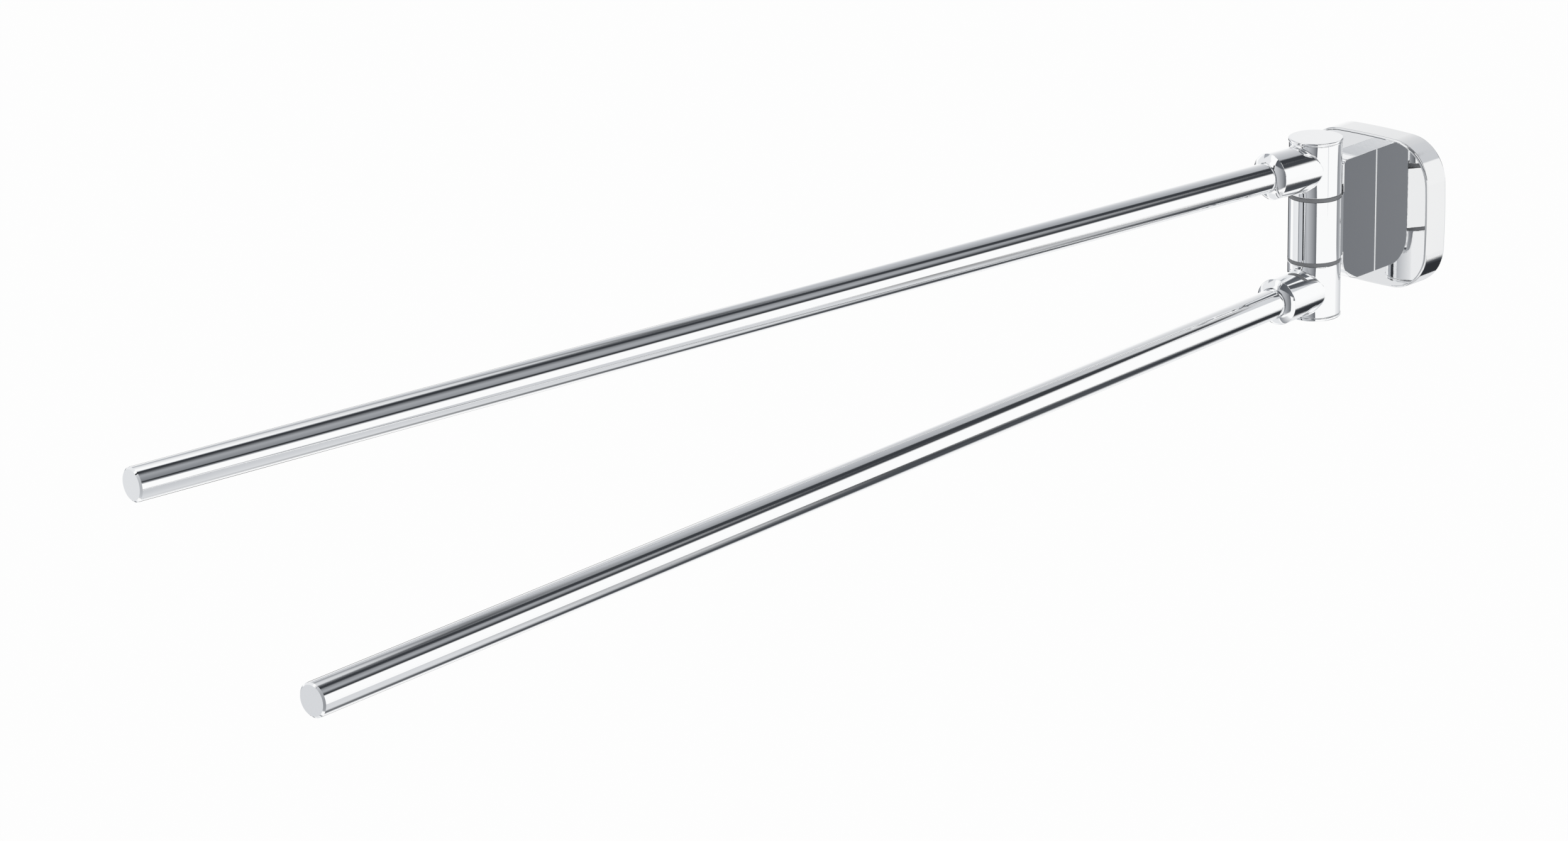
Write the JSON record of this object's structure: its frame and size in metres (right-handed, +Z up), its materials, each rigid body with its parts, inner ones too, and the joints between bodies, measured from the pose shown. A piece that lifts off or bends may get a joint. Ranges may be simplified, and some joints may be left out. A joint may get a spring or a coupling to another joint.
{
  "type": "swivel towel holder",
  "caption": "Wall-mounted chrome towel holder: a rounded square rosette carries an upright hinge column on which round arms swivel, one above the other.",
  "frame": {"origin": "middle of the wall plate's back face, on the wall", "axes": "+Y into the wall, +Z up, +X to the right as seen by someone facing the wall; the arms reach out along -Y"},
  "size_m": [0.0773, 0.4415, 0.0548],
  "materials": {
    "chrome": "polished",
    "steel": "zinc plated",
    "grey_plastic": "matte",
    "bush_plastic": "natural"
  },
  "bodies": {
    "bracket": {"rosette": "chrome", "wall_plate": "steel", "clamp_screw": "steel", "hinge_bracket": "chrome", "bracket_screws": "steel", "hinge_pin": "steel", "hinge_nut": "steel", "disc_spring": "steel", "upper_friction_washer": "grey_plastic", "lower_friction_washer": "grey_plastic"},
    "upper_arm": {"upper_knuckle": "chrome", "upper_bush": "bush_plastic", "upper_cap": "chrome", "upper_collar": "chrome", "upper_rod": "chrome", "upper_rod_stud": "steel", "upper_rod_end": "chrome"},
    "lower_arm": {"lower_knuckle": "chrome", "lower_bush": "bush_plastic", "lower_cap": "chrome", "lower_collar": "chrome", "lower_rod": "chrome", "lower_rod_stud": "steel", "lower_rod_end": "chrome"}
  },
  "joints": [
    {"name": "upper_arm_swivel", "type": "hinge", "parent": "bracket", "child": "upper_arm", "pos_m": [0, -0.0337, 0], "axis": [0, 0, 1], "range_deg": [-83, 97]},
    {"name": "lower_arm_swivel", "type": "hinge", "parent": "bracket", "child": "lower_arm", "pos_m": [0, -0.0337, 0], "axis": [0, 0, 1], "range_deg": [-92.5, 87.5]}
  ]
}
